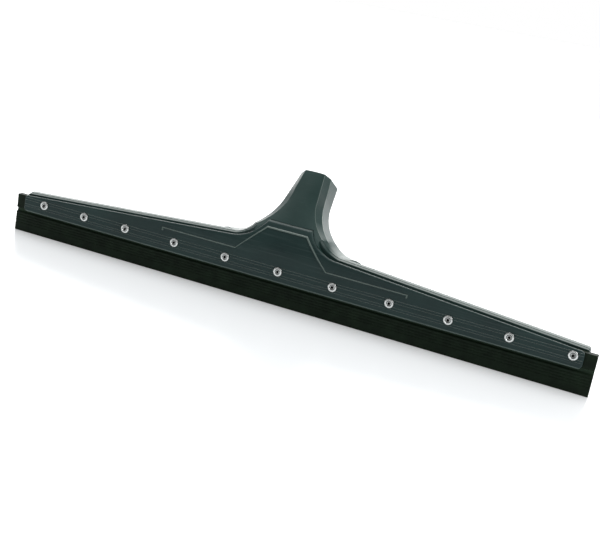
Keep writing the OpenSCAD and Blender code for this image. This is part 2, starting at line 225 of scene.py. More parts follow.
def polypropylene(name, base, cloud, scuff, wear, top_highlight):
    """satin moulded polypropylene: two close colours, pale scuffs, and a painted highlight on what faces up
    """
    material, tree, place = new_material(name)
    flow = add_node(tree, "ShaderNodeTexNoise", {
        "Vector": place, "Scale": per_metre(FLOW_MM), "Detail": 4.0})
    colour = add_node(tree, "ShaderNodeValToRGB", {"Fac": flow.outputs["Fac"]})
    colour.color_ramp.elements[0].position, colour.color_ramp.elements[0].color = 0.30, linear(base)
    colour.color_ramp.elements[1].position, colour.color_ramp.elements[1].color = 0.72, linear(cloud)
    along = add_node(tree, "ShaderNodeMapping", {
        "Vector": place,
        "Scale": (per_metre(SCUFF_LONG_MM), per_metre(SCUFF_WIDE_MM), per_metre(SCUFF_WIDE_MM))})
    scuffs = add_node(tree, "ShaderNodeTexNoise", {
        "Vector": along.outputs["Vector"], "Scale": 1.0, "Detail": 2.0})
    worn = add_node(tree, "ShaderNodeMapRange", {
        "Value": scuffs.outputs["Fac"], "From Min": 0.55, "From Max": 0.85, "To Min": 0.0, "To Max": wear})
    scuffed = add_node(tree, "ShaderNodeMix", {
        0: worn.outputs["Result"], 6: colour.outputs["Color"], 7: linear(scuff)}, data_type="RGBA")
    # Painted highlight: the more a face points up, the more of a pale grey it takes.
    normal = add_node(tree, "ShaderNodeTexCoord").outputs["Normal"]
    facing = add_node(tree, "ShaderNodeSeparateXYZ", {"Vector": normal})
    top_highlight_mask = add_node(tree, "ShaderNodeMapRange", {
        "Value": facing.outputs["Z"], "From Min": TOP_HIGHLIGHT_FROM, "From Max": TOP_HIGHLIGHT_FULL,
        "To Min": 0.0, "To Max": top_highlight})
    top_highlighted = add_node(tree, "ShaderNodeMix", {
        0: top_highlight_mask.outputs["Result"], 6: scuffed.outputs[2], 7: linear("#a3aba8")}, data_type="RGBA")
    rough = add_node(tree, "ShaderNodeMapRange", {
        "Value": flow.outputs["Fac"], "From Min": 0.3, "From Max": 0.7, "To Min": 0.34, "To Max": 0.44})
    grain = add_node(tree, "ShaderNodeTexNoise", {
        "Vector": place, "Scale": per_metre(GRAIN_MM), "Detail": 1.0})
    bump = add_node(tree, "ShaderNodeBump", {
        "Height": grain.outputs["Fac"], "Strength": 0.12, "Distance": 0.1 * MM})
    surface = add_node(tree, "ShaderNodeBsdfPrincipled", {
        "Base Color": top_highlighted.outputs[2], "Roughness": rough.outputs["Result"], "IOR": 1.49,
        "Specular IOR Level": 0.25, "Normal": bump.outputs["Normal"],
    })
    add_node(tree, "ShaderNodeOutputMaterial", {"Surface": surface.outputs["BSDF"]})
    return material


# The plate is darker and more scuffed, the body is lighter with a strong painted highlight on what faces up,
# and the third, pale material paints highlights on thin edges.
plate_plastic = polypropylene("moulded_polypropylene_plate", "#1e3231", "#283e3c", "#4d5b59", 0.45, 0.10)
body_plastic = polypropylene("moulded_polypropylene_body", "#243a37", "#304744", "#4d5b59", 0.15, 0.7)
# Its pale colour is a painted highlight: the faces that take it stand for thin edges that catch the light.
highlight_plastic = polypropylene("edge_highlight_polypropylene", "#5b6964", "#6b7974", "#7a8783", 0.45, 0.5)
print("material:", plate_plastic.name, body_plastic.name, highlight_plastic.name)

# %% [markdown]
# ## Rubber
# The blade is extruded natural rubber filled with carbon black. It is the darkest piece: matt, with a
# trace of green, and cloudy where wax has bloomed to the surface. The die leaves fine lines that are
# drawn out along the blade. The flex groove is painted paler than the faces above and below it: painted
# light that lifts the shade the plate casts into the groove.

# %% Material: extruded rubber
BLOOM_MM = 9.0
DRAWN_LONG_MM, DRAWN_WIDE_MM = 60.0, 0.8
# Between these heights the flex groove is painted paler, as painted light against its shade.
GROOVE_FOOT, GROOVE_HEAD = (17.8, 19.2), (22.4, 21.2)

rubber, tree, place = new_material("extruded_black_rubber")
bloom = add_node(tree, "ShaderNodeTexNoise", {"Vector": place, "Scale": per_metre(BLOOM_MM), "Detail": 5.0})
tone = add_node(tree, "ShaderNodeValToRGB", {"Fac": bloom.outputs["Fac"]})
tone.color_ramp.elements[0].position, tone.color_ramp.elements[0].color = 0.35, linear("#0f1b10")
tone.color_ramp.elements[1].position, tone.color_ramp.elements[1].color = 0.75, linear("#1b2a1c")
height = add_node(tree, "ShaderNodeSeparateXYZ", {"Vector": place}).outputs["Z"]
above = add_node(tree, "ShaderNodeMapRange", {
    "Value": height, "From Min": GROOVE_FOOT[0] * MM, "From Max": GROOVE_FOOT[1] * MM})
below = add_node(tree, "ShaderNodeMapRange", {
    "Value": height, "From Min": GROOVE_HEAD[0] * MM, "From Max": GROOVE_HEAD[1] * MM})
in_groove = add_node(tree, "ShaderNodeMath", {
    0: above.outputs["Result"], 1: below.outputs["Result"]}, operation="MULTIPLY")
# Painted light: the groove takes a paler rubber colour that lifts its shade.
groove_lit = add_node(tree, "ShaderNodeMix", {
    0: in_groove.outputs[0], 6: tone.outputs["Color"], 7: linear("#2c3d2e")}, data_type="RGBA")
drawn = add_node(tree, "ShaderNodeMapping", {
    "Vector": place,
    "Scale": (per_metre(DRAWN_LONG_MM), per_metre(DRAWN_WIDE_MM), per_metre(DRAWN_WIDE_MM))})
skin = add_node(tree, "ShaderNodeTexNoise", {"Vector": drawn.outputs["Vector"], "Scale": 1.0, "Detail": 2.0})
bump = add_node(tree, "ShaderNodeBump", {
    "Height": skin.outputs["Fac"], "Strength": 0.1, "Distance": 0.1 * MM})
surface = add_node(tree, "ShaderNodeBsdfPrincipled", {
    "Base Color": groove_lit.outputs[2], "Roughness": 0.55, "IOR": 1.52, "Specular IOR Level": 0.12,
    "Normal": bump.outputs["Normal"],
})
add_node(tree, "ShaderNodeOutputMaterial", {"Surface": surface.outputs["BSDF"]})
print("material:", rubber.name)

# %% [markdown]
# ## Aluminium and steel
# Blind rivets are soft aluminium, tumbled until they are satin, so each head catches the light as one
# bright ring. The pin that set them is plain steel. It broke off inside and only its dull end is left,
# deep in the hole. The low parts of each head, its dish and its foot on the plate, are painted darker as
# painted shade, and so is the pin's end. It is placed by depth: it begins just behind the head's rim and
# fades out inside the blade, so the tails at the back stay untouched.

# %% Materials: satin aluminium and dull steel
DENT_MM = 0.9
# Painted shade: from the first depth to the second the head grows darker, and it fades out again inside the
# blade.
HEAD_SHADE_FROM, HEAD_SHADE_FULL = -7.05, -6.5
HEAD_SHADE_STAYS, HEAD_SHADE_ENDS = 0.0, 1.0
HEAD_SHADE = 0.8


def satin_metal(name, base, shade, rough):
    """a tumbled metal with small dents in its gloss, and painted shade in the dish and at the foot of a
    rivet's head
    """
    material, tree, place = new_material(name)
    dents = add_node(tree, "ShaderNodeTexNoise", {
        "Vector": place, "Scale": per_metre(DENT_MM), "Detail": 3.0})
    tone = add_node(tree, "ShaderNodeValToRGB", {"Fac": dents.outputs["Fac"]})
    tone.color_ramp.elements[0].position, tone.color_ramp.elements[0].color = 0.3, linear(shade)
    tone.color_ramp.elements[1].position, tone.color_ramp.elements[1].color = 0.6, linear(base)
    gloss = add_node(tree, "ShaderNodeMapRange", {
        "Value": dents.outputs["Fac"], "From Min": 0.3, "From Max": 0.7,
        "To Min": rough + 0.08, "To Max": rough - 0.05})
    bump = add_node(tree, "ShaderNodeBump", {
        "Height": dents.outputs["Fac"], "Strength": 0.07, "Distance": 0.1 * MM})
    # Painted shade: a dark grey is mixed in by depth, on the head's low parts and inside the blade.
    depth = add_node(tree, "ShaderNodeSeparateXYZ", {"Vector": place}).outputs["Y"]
    dish = add_node(tree, "ShaderNodeMapRange", {
        "Value": depth, "From Min": HEAD_SHADE_FROM * MM, "From Max": HEAD_SHADE_FULL * MM,
        "To Min": 0.0, "To Max": HEAD_SHADE})
    front = add_node(tree, "ShaderNodeMapRange", {
        "Value": depth, "From Min": HEAD_SHADE_STAYS * MM, "From Max": HEAD_SHADE_ENDS * MM,
        "To Min": HEAD_SHADE, "To Max": 0.0})
    head_shade = add_node(tree, "ShaderNodeMath", {
        0: dish.outputs["Result"], 1: front.outputs["Result"]}, operation="MINIMUM")
    head_shaded = add_node(tree, "ShaderNodeMix", {
        0: head_shade.outputs[0], 6: tone.outputs["Color"], 7: linear("#4a4c4a")}, data_type="RGBA")
    surface = add_node(tree, "ShaderNodeBsdfPrincipled", {
        "Base Color": head_shaded.outputs[2], "Metallic": 1.0, "Roughness": gloss.outputs["Result"],
        "Normal": bump.outputs["Normal"],
    })
    add_node(tree, "ShaderNodeOutputMaterial", {"Surface": surface.outputs["BSDF"]})
    return material


aluminium = satin_metal("tumbled_aluminium", "#e2e4e3", "#c2c6c4", 0.26)
steel = satin_metal("dull_broken_steel", "#565b59", "#3d413f", 0.45)
print("material:", aluminium.name, "and", steel.name)

# %% [markdown]
# ## Outlines
# Mouldings are walls with rounded edges. A simple way to make one is a stack of rings: the same outline
# again and again, drawn in a little more towards each face, with quads between neighbours. So the
# outline needs two helpers, one that rounds its corners and one that draws it in.

# %% Outlines
def rounded(corners, radii, steps=6):
    """a polygon with each corner turned into an arc of steps + 1 points"""
    points = []
    for k, corner in enumerate(corners):
        here = Vector(corner)
        back = (Vector(corners[k - 1]) - here).normalized()
        ahead = (Vector(corners[(k + 1) % len(corners)]) - here).normalized()
        if radii[k] == 0:
            points.append(here)
            continue
        half = back.angle(ahead) / 2
        centre = here + (back + ahead).normalized() * (radii[k] / math.sin(half))
        first = here + back * (radii[k] / math.tan(half)) - centre
        turn = first.angle_signed(here + ahead * (radii[k] / math.tan(half)) - centre)
        points += [centre + Matrix.Rotation(-turn * i / steps, 2) @ first for i in range(steps + 1)]
    return points


def drawn_in(points, distance):
    """an anticlockwise outline with every side moved inwards"""
    moved = []
    for k, here in enumerate(points):
        a = (here - points[k - 1]).normalized()
        b = (points[(k + 1) % len(points)] - here).normalized()
        na, nb = Vector((-a.y, a.x)), Vector((-b.y, b.x))
        moved.append(here + (na + nb) * (distance / (1 + na.dot(nb))))
    return moved


def mirrored(points):
    """the same points on the other side of the middle, in reverse order"""
    return [Vector((-p.x, p.y)) for p in reversed(points)]


square = rounded([(0, 0), (10, 0), (10, 10), (0, 10)], [2] * 4)
print("a square with round corners has", len(square), "points")

# %% [markdown]
# ## From rings to solids
# A stack joins each ring to the next one and closes both ends. Joined to itself, it is a hollow ring
# such as a tube. The faces may come out turned either way, so they are turned outwards at the end.

# %% Solids
MERGE = 0.001


def make_piece(name, points, faces, *materials):
    """a mesh object at the origin, from points in millimetres"""
    mesh = bpy.data.meshes.new(name)
    mesh.from_pydata([Vector(p) * MM for p in points], [], faces)
    for material in materials:
        mesh.materials.append(material)
    piece = bpy.data.objects.new(name, mesh)
    bpy.context.scene.collection.objects.link(piece)
    return piece


def stack(rings, looped=False):
    """points and faces through rings of equal count, with two end caps unless the rings form a loop"""
    n = len(rings[0])
    points = [p for ring in rings for p in ring]
    faces = [] if looped else [tuple(range(n)), tuple(len(points) - n + k for k in reversed(range(n)))]
    for r in range(len(rings) if looped else len(rings) - 1):
        a, b = r * n, (r + 1) % len(rings) * n
        faces += [(a + k, b + k, b + (k + 1) % n, a + (k + 1) % n) for k in range(n)]
    return points, faces


def outward(piece):
    """merges doubles and turns all faces outwards"""
    bm = bmesh.new()
    bm.from_mesh(piece.data)
    bmesh.ops.remove_doubles(bm, verts=bm.verts, dist=MERGE * MM)
    bmesh.ops.recalc_face_normals(bm, faces=bm.faces)
    bm.to_mesh(piece.data)
    bm.free()
    return piece


def solid(name, rings, *materials, looped=False):
    """a closed piece through a stack of rings"""
    return outward(make_piece(name, *stack(rings, looped), *materials))


print("two rings of four make a box of", len(stack([square[:4], square[:4]])[1]), "faces")

# %% [markdown]
# ## Cutting and smoothing
# Modifiers cut, join and smooth. They could stay live, but a plain mesh is easier to follow, so each
# one is settled: the piece takes over the mesh that the modifier makes, and the modifier goes.

# %% Cuts and smooth edges
FLAT_WEIGHT = 80


def settled(piece):
    """replaces the mesh by what its modifiers make of it"""
    graph = bpy.context.evaluated_depsgraph_get()
    mesh = bpy.data.meshes.new_from_object(piece.evaluated_get(graph))
    piece.modifiers.clear()
    piece.data = mesh
    return piece


def combined(piece, tools, operation):
    """joins tools to a solid, or cuts them out of it, and removes them"""
    for tool in tools:
        step = piece.modifiers.new("cut", "BOOLEAN")
        step.operation, step.solver, step.object = operation, "MANIFOLD", tool
    settled(piece)
    for tool in tools:
        bpy.data.objects.remove(tool)


def smoothed(piece, sharp_degrees):
    """smooth shading, with hard edges above an angle and flat faces kept flat"""
    bm = bmesh.new()
    bm.from_mesh(piece.data)
    for face in bm.faces:
        face.smooth = True
    for edge in bm.edges:
        edge.smooth = edge.calc_face_angle(0) < math.radians(sharp_degrees)
    bm.to_mesh(piece.data)
    bm.free()
    flat = piece.modifiers.new("flat faces", "WEIGHTED_NORMAL")
    flat.keep_sharp, flat.weight = True, FLAT_WEIGHT
    settled(piece)


def report(piece):
    """prints what a piece came to"""
    mesh = piece.data
    mesh.calc_loop_triangles()
    bm = bmesh.new()
    bm.from_mesh(mesh)
    open_edges = sum(not e.is_manifold for e in bm.edges)
    print("%s: %d triangles, %d open edges, %.1f cm3" % (
        piece.name, len(mesh.loop_triangles), open_edges, bm.calc_volume() * 1e6))
    bm.free()


print("helpers:", ", ".join(f.__name__ for f in (settled, combined, smoothed, report)))

# %% [markdown]
# ## Measures of the head
# These repeat the drawing's sizes in millimetres. X runs along the blade, Y from front to back, and Z up
# from the wiping edge. The top edge of both mouldings slopes down from the middle to the ends. The
# rivets stand in an uneven row: the first two gaps at the left are shorter.

# %% Measures
PLATE_HALF, PLATE_LOW, PLATE_END = 265.0, 21.0, 36.5
SLOPE = math.radians(4.4)
PLATE_FRONT, BLADE_FRONT, BLADE_BACK = -6.0, -3.0, 3.0
WALL_BACK, REAR_BACK = 6.0, 10.0
RIVET_Z, RIVET_COUNT = 31.0, 11
RIVET_FIRST, RIVET_LAST = -242.4, 256.5
SHORT_GAP, SHORT_GAPS = 44.3, 2
EVEN_GAP = (RIVET_LAST - RIVET_FIRST - SHORT_GAPS * SHORT_GAP) / (RIVET_COUNT - 1 - SHORT_GAPS)
DRILL_R, DRILL_DEGREES, DRILL_PAST = 2.1, 15, 2

rivet_row = []
for k in range(RIVET_COUNT):
    rivet_row.append(RIVET_FIRST + min(k, SHORT_GAPS) * SHORT_GAP + max(0, k - SHORT_GAPS) * EVEN_GAP)


def plate_top(x):
    """the height of the plate's sloping top edge"""
    return PLATE_END + (PLATE_HALF - abs(x)) * math.tan(SLOPE)


def rivet_drills(front, back):
    """cutting tools for the rivet holes, which reach past both faces of a wall"""
    circle = []
    for degrees in range(0, 360, DRILL_DEGREES):
        a = math.radians(degrees)
        circle.append((DRILL_R * math.cos(a), DRILL_R * math.sin(a)))
    drills = []
    for k, x in enumerate(rivet_row):
        ends = (front - DRILL_PAST, back + DRILL_PAST)
        rings = [[(x + c, y, RIVET_Z + s) for c, s in circle] for y in ends]
        drills.append(solid("drill_%d" % k, rings, steel))
    return drills


print("rivets at", [round(x, 1) for x in rivet_row])

# %% [markdown]
# ## The front plate: outline
# The plate is a flat moulding that clamps the blade. In the middle a tongue rises, and a large fillet
# leads to it on either side. The fillet is an arc that touches the sloping edge and passes through the
# tongue's corner, so its foot is found by solving for the point where both are true.

# %% Front plate: outline
TONGUE = (20.5, 71.2)
FILLET_R, FILLET_STEPS = 36.0, 24
PLATE_CORNER = 3.5
TOP_EASE = 0.5

slope_dir = Vector((math.cos(SLOPE), -math.sin(SLOPE)))
slope_up = Vector((math.sin(SLOPE), math.cos(SLOPE)))
crest = Vector((0, plate_top(0) - TOP_EASE))
reach = crest + FILLET_R * slope_up - Vector(TONGUE)
sideways = reach.dot(slope_dir)
along = -sideways + math.sqrt(sideways ** 2 - reach.dot(reach) + FILLET_R ** 2)
fillet_foot = crest + along * slope_dir
fillet_centre = fillet_foot + FILLET_R * slope_up
foot_arm, corner_arm = fillet_foot - fillet_centre, Vector(TONGUE) - fillet_centre
fillet_turn = foot_arm.angle_signed(corner_arm)
fillet = []
for k in range(FILLET_STEPS + 1):
    fillet.append(fillet_centre + Matrix.Rotation(-fillet_turn * k / FILLET_STEPS, 2) @ foot_arm)

right_side = [Vector((PLATE_HALF, PLATE_LOW)), Vector((PLATE_HALF, PLATE_END - TOP_EASE))] + fillet
corner_radii = [PLATE_CORNER, PLATE_CORNER] + [0] * len(fillet)
plate_outline = rounded(right_side + mirrored(right_side), corner_radii + corner_radii[::-1])
print("plate outline:", len(plate_outline), "points, fillet from", [round(c, 1) for c in fillet_foot])

# %% [markdown]
# ## The front plate: wall, bend and fine ridges
# A curve with a bevel would have the same edge all round. A stack of rings gives the well rounded front
# edge, which shows as one thin light line, and a sharper back edge. The flat front is then cut into
# level strips, and each strip is laid on the bend of the tongue. Four fine ridges run along the plate.
# Each is a row of points that is lifted by 0.3 mm. The upper side of each ridge, and the plate's lower
# edge, get a painted highlight: their faces take the pale plastic.

# %% Front plate: wall, bend and ridges
PLATE_T, EDGE_ROUND, EDGE_STEPS = 3.0, 1.3, 6
BACK_EDGE = ((0, PLATE_T - 1.2), (0.3, PLATE_T - 0.5), (0.9, PLATE_T))
BEND_Z, BEND_R = 44.0, 41.0
STRIP, STRIPS = 1.2, 23
RIDGES = ((34.5, 0.30), (32.2, 0.27), (28.3, 0.27), (26.2, 0.27))
RIDGE_SPAN = (-0.5, 0.0, 0.12)
LOWER_EDGE = (21.5, 22.3)
NEAR = 0.01
PLATE_SHARP = 32


def face_y(z, depth):
    """where the plate's skin lies at a height, at a depth behind its face"""
    if z <= BEND_Z:
        return PLATE_FRONT + depth
    return PLATE_FRONT + BEND_R - math.sqrt((BEND_R - depth) ** 2 - (z - BEND_Z) ** 2)


edge_rings = []
for k in range(EDGE_STEPS + 1):
    a = math.pi / 2 * k / EDGE_STEPS
    edge_rings.append((EDGE_ROUND * (1 - math.sin(a)), EDGE_ROUND * (1 - math.cos(a))))
edge_rings += BACK_EDGE
plate_rings = [[(p.x, depth, p.y) for p in drawn_in(plate_outline, inset)] for inset, depth in edge_rings]
plate = make_piece("front_plate_moulding", *stack(plate_rings), plate_plastic, highlight_plastic)

bm = bmesh.new()
bm.from_mesh(plate.data)
for z in [BEND_Z + STRIP * k for k in range(STRIPS)] + [z + d for z, _ in RIDGES for d in RIDGE_SPAN]:
    everything = bm.verts[:] + bm.edges[:] + bm.faces[:]
    bmesh.ops.bisect_plane(bm, geom=everything, plane_co=(0, 0, z * MM), plane_no=(0, 0, 1))
for v in bm.verts:
    z, depth = v.co.z / MM, v.co.y / MM
    lift = sum(h for ridge_z, h in RIDGES if abs(z - ridge_z) < NEAR and depth < NEAR)
    v.co.y = (face_y(z, depth) - lift) * MM
# The faces on these lines take the pale plastic, as painted highlights.
highlight_lines = [(z, z + RIDGE_SPAN[2]) for z, _ in RIDGES] + [LOWER_EDGE]
for face in bm.faces:
    z = face.calc_center_median().z / MM
    face.material_index = int(any(low < z < high for low, high in highlight_lines))
bm.to_mesh(plate.data)
bm.free()
outward(plate)
combined(plate, rivet_drills(PLATE_FRONT, BLADE_FRONT), "DIFFERENCE")
report(plate)

# %% [markdown]
# ## The raised line
# A narrow rounded bead frames a bare panel on the tongue and runs on to both sides, ending in two short
# hooks. It is swept along the face: at every point of its path a half round section stands on the skin,
# so the bead follows the bend of the tongue. Its upper half and its hooks get a painted highlight in the
# pale plastic.

# %% Raised line: path
BEAD_STEP = 1.5
STEEP = 5
bead_side = [Vector(p) for p in ((116.0, 39.3), (116.0, 41.5), (43.0, 41.5), (18.7, 65.8))]
bead_corners = bead_side + mirrored(bead_side)
bead_path = [bead_corners[0]]
for a, b in zip(bead_corners, bead_corners[1:]):
    parts = max(1, int((b - a).length / BEAD_STEP)) if abs(b.y - a.y) > STEEP else 1
    bead_path += [a.lerp(b, (k + 1) / parts) for k in range(parts)]
print("raised line:", len(bead_path), "points along its path")

# %% Raised line: section
BEAD_W, BEAD_H, BEAD_ROOT = 1.5, 0.7, 0.5
BEAD_ARC, BEAD_FULLNESS, BEAD_MITRE = 8, 0.8, 0.5
HOOK_X, FACES_UP = 115.0, 0.05

bead_rings = []
for k, p in enumerate(bead_path):
    before = (p - bead_path[k - 1]).normalized() if k else None
    after = (bead_path[k + 1] - p).normalized() if k < len(bead_path) - 1 else None
    run = ((before or after) + (after or before)).normalized()
    widen = 1 / max(BEAD_MITRE, run.dot(after or before))
    side = Vector((-run.y, run.x)) * (BEAD_W / 2 * widen)
    ring = []
    for i in range(BEAD_ARC + 1):
        t = math.pi * i / BEAD_ARC
        q = p + side * math.cos(t)
        ring.append((q.x, face_y(q.y, 0) - BEAD_H * math.sin(t) ** BEAD_FULLNESS, q.y))
    for s in (-1, 1):
        q = p + side * s
        ring.append((q.x, face_y(q.y, BEAD_ROOT), q.y))
    bead_rings.append(ring)
bead = solid("bead", bead_rings, plate_plastic, highlight_plastic)
# Faces that look up, and the hooks, take the pale plastic: a painted highlight.
for polygon in bead.data.polygons:
    polygon.material_index = int(polygon.normal.z > FACES_UP or abs(polygon.center.x) > HOOK_X * MM)
combined(plate, [bead], "UNION")
smoothed(plate, PLATE_SHARP)
report(plate)

# %% [markdown]
# ## The rear body: bar
# The bar behind the blade has a stepped top edge: a rounded shoulder in front, a small step, and a flat
# behind it. Seen from the front, these are two light lines with a dark one between them. In the middle
# the edge doesn't stop at the socket: it turns up and follows the plate's fillet for a while as a narrow
# band. Again it is a stack of rings. The ends and the top are drawn in from ring to ring, and the bottom
# stays level.

# %% Rear body: bar
REAR_HALF, REAR_OVER = 268.0, 1.5
REAR_CORNER, CORNER_LOSS, FOOT_ROUND, END_LOSS = 3.0, 2, 0.6, 0.7
BAND_STEPS, BAND_RISE = 16, 2.0
BAR_PROFILE = (
    (3.0, 2.0), (3.1, 1.75), (3.4, 1.55), (5.0, 0.95), (5.1, 0.9), (5.2, 0.6), (5.4, 0.5),
    (9.3, 0.0), (9.75, 0.2), (10.0, 0.7),
)


def band_curve(inset, rise, late=0.0):
    """the body's upper edge beside the plate, from the fillet's foot: it rises, and once more late"""
    curve = []
    for k, p in enumerate(fillet[:BAND_STEPS + 1]):
        way = k / BAND_STEPS
        out = REAR_OVER + TOP_EASE - inset + rise * way + late * max(0.0, way - 0.5) ** 2
        curve.append(p + (fillet_centre - p).normalized() * out)
    return curve


def bar_outline(inset):
    """the bar's outline seen from the front, with its top and ends drawn in"""
    half = REAR_HALF - min(inset, END_LOSS)
    end = plate_top(REAR_HALF) + REAR_OVER - inset
    right_top = [Vector((half, end))] + band_curve(inset, BAND_RISE)
    corners = [Vector((-half, PLATE_LOW)), Vector((half, PLATE_LOW))] + right_top + mirrored(right_top)
    end_round = REAR_CORNER - min(inset, CORNER_LOSS)
    radii = [FOOT_ROUND, FOOT_ROUND, end_round] + [0] * (2 * len(right_top) - 2) + [end_round]
    return rounded(corners, radii)


bar_rings = [[(p.x, y, p.y) for p in bar_outline(inset)] for y, inset in BAR_PROFILE]
body = solid("rear_body_moulding", bar_rings, body_plastic, highlight_plastic)
report(body)

# %% [markdown]
# ## The rear body: socket
# The socket is a tube that leans back and flares into the bar. Its sections change all the way, so it is
# a loft: one section function, called at many distances from the mouth. Each half of a section is a
# slightly crowned front, a narrow slanting facet, a straight flank, and a quarter of an oval behind. The
# flank is what shines on the right, and the two edges of the facet carry thin painted highlights.

# %% Rear body: section of the socket
LEAN = math.radians(40)
MOUTH = Vector((54.799168, 105.710963))
HALF_D = 15.5
FLARE_END, FLARE_RUN, FLARE_LEAD = 76.5, 46.5, 10.0
WIDE, WIDE_GROWS = 18.2, 0.08
FRONT_WIDE, FRONT_GROWS = 14.5, 0.15
BACK_FLAT, BACK_GROWS = 7.5, 0.08
SIDE_FLARE, BACK_FLARE = 42.4, 14.0
FLANK_FRONT, FLANK_BACK, FLANK_EASE = 8.0, 4.0, (0.3, 0.9)
FACET, FACET_GROWS, FACET_LIP = 5.2, 1.2, 0.35
CROWN, CROWN_GROWS, CROWN_STEPS, GROWN_U = 0.6, 2.0, 6, 32.0
BACK_FLAT_U, BACK_FOOT_U, BACK_FOOT = 52.0, 81.4, 9.6
BACK_STEPS = 14


def on_axis(u, across):
    """Y and Z at a distance from the mouth and across the axis"""
    y = MOUTH.x - u * math.sin(LEAN) + across * math.cos(LEAN)
    return y, MOUTH.y - u * math.cos(LEAN) - across * math.sin(LEAN)


def eased(t):
    """a smooth way from 0 to 1"""
    return t * t * (3 - 2 * t)


def flare(u, out):
    """how far a flare has spread, as an arc that starts along the tube"""
    v = max(0.0, min(u, FLARE_END) - FLARE_END + FLARE_RUN)
    r = (FLARE_RUN ** 2 + out ** 2) / (2 * out)
    return r - math.sqrt(r * r - v * v)


def socket_ring(u, inset):
    """one section of the socket, anticlockwise seen from the mouth"""
    wide = WIDE + WIDE_GROWS * u + flare(u + FLARE_LEAD, SIDE_FLARE) - inset
    front_wide = FRONT_WIDE + FRONT_GROWS * u + flare(u, SIDE_FLARE) - inset
    flat = BACK_FLAT + BACK_GROWS * u + flare(u, BACK_FLARE) - inset / 2
    foot = eased(max(0.0, min(1.0, (u - BACK_FLAT_U) / (BACK_FOOT_U - BACK_FLAT_U))))
    back = HALF_D - inset - (HALF_D - BACK_FOOT) * foot
    front = HALF_D - inset
    grown = min(1.0, u / GROWN_U)
    facet_x, crown = front_wide - FACET - FACET_GROWS * grown, CROWN + CROWN_GROWS * grown
    right = []
    for k in range(CROWN_STEPS + 1):
        right.append((facet_x * k / CROWN_STEPS, -front + crown * (k / CROWN_STEPS) ** 2))
    right.append((facet_x + FACET_LIP, -front + crown + FACET_LIP))
    right.append((front_wide - FLANK_EASE[0], -FLANK_FRONT - FLANK_EASE[1]))
    right.append((front_wide, -FLANK_FRONT))
    for k in range(BACK_STEPS + 1):
        t = math.pi / 2 * k / BACK_STEPS
        right.append((flat + (wide - flat) * math.cos(t), FLANK_BACK + (back - FLANK_BACK) * math.sin(t)))
    left = [(-x, a) for x, a in reversed(right)]
    return [(x, *on_axis(u, a)) for x, a in right + left]


print("socket: %.1f mm wide at the mouth" % (2 * WIDE))

# %% [markdown]
# The loft runs from the rounded mouth down into the bar. Its sections stand close together where the
# foot curves most. A stack lists its two caps first, and then the faces between each pair of rings, so
# the faces that lie on the facet's edges can be counted out and given the pale plastic of the painted
# highlights.

# %% Rear body: loft of the socket
MOUTH_ROUND = ((0.0, 0.9), (0.1, 0.5), (0.35, 0.2), (0.9, 0.0))
TUBE_FROM, TUBE_STEP, TUBE_RINGS = 2.0, 1.5, 47
FOOT_FROM, FOOT_STEP, FOOT_RINGS, LOFT_END = 71.5, 0.5, 11, 85.5
FACET_EDGES = (CROWN_STEPS, CROWN_STEPS + 2)
CAPS = 2

loft = list(MOUTH_ROUND) + [(TUBE_FROM + TUBE_STEP * k, 0.0) for k in range(TUBE_RINGS)]
loft += [(FOOT_FROM + FOOT_STEP * k, 0.0) for k in range(FOOT_RINGS)] + [(LOFT_END, 0.0)]
socket_rings = [socket_ring(u, inset) for u, inset in loft]
socket = make_piece("socket", *stack(socket_rings), body_plastic, highlight_plastic)
ring_size = len(socket_rings[0])
# The facet's edges take the pale plastic: two thin painted highlights.
for r in range(len(socket_rings) - 1):
    for k in FACET_EDGES:
        for edge in (k, ring_size - 2 - k):
            socket.data.polygons[CAPS + r * ring_size + edge].material_index = 1
outward(socket)
report(socket)

# %% [markdown]
# ## The rear body: spacer and slot
# A low spacer keeps both mouldings apart above the blade, which leaves a slot between their top edges.
# In the middle the slot runs out into the socket's foot: it follows the plate's outline, and it narrows
# to the plain fitting gap as it climbs. The tool that cuts it is the plate's outline, moved out by a
# width that changes along the way, less the same outline drawn in. Tools overlap what they cut or join,
# or keep a hair away from it, because faces in one plane confuse the cut.

# %% Rear body: spacer and slot
SPACER_LOW, SLOT_DEPTH = 35.3, 2.5
SEAT_GAP, SLOT_WIDE, SLOT_FADE = 0.3, 1.6, 7.0
SLOT_FLOOR, SLOT_CORE = -0.5, 1.5
FAR_FRONT, OVERLAP, HAIR = -30, 1, 0.02


def pulled(name, outline, front, back):
    """a solid tool: an outline seen from the front, pulled from one depth to another"""
    return solid(name, [[(p.x, y, p.y) for p in outline] for y in (front, back)], body_plastic)


spacer_reach = PLATE_HALF - (SPACER_LOW - PLATE_END + SLOT_DEPTH) / math.tan(SLOPE)
spacer_outline = [(-spacer_reach, SPACER_LOW), (spacer_reach, SPACER_LOW), (0, plate_top(0) - SLOT_DEPTH)]
spacer = pulled("spacer", [Vector(p) for p in spacer_outline], BLADE_FRONT + HAIR, BLADE_BACK + OVERLAP)

# Each inner point is one millimetre further in, so p - inner points outwards.
run_out = []
for p, inner in zip(plate_outline, drawn_in(plate_outline, 1.0)):
    t = max(0.0, min(1.0, (p.y - fillet_foot.y) / SLOT_FADE))
    run_out.append(p + (p - inner) * (SEAT_GAP + SLOT_WIDE * (1 - eased(t))))
slot_end = pulled("slot_end", run_out, FAR_FRONT, SLOT_FLOOR)
core_outline = drawn_in(plate_outline, SLOT_CORE)
slot_core = pulled("slot_core", core_outline, FAR_FRONT - OVERLAP, BLADE_BACK + OVERLAP)
combined(slot_end, [slot_core], "DIFFERENCE")
combined(socket, [slot_end], "DIFFERENCE")
report(socket)

# %% [markdown]
# ## The rear body: the band beside the tongue
# The flaring socket would bury the band that the bar carries up along the fillet. So the socket is
# trimmed to the same stepped edge. In front of the bar it is opened well back. From there on the trim
# leans out more and more, so that the band grows over into the socket's flank without a hard end.

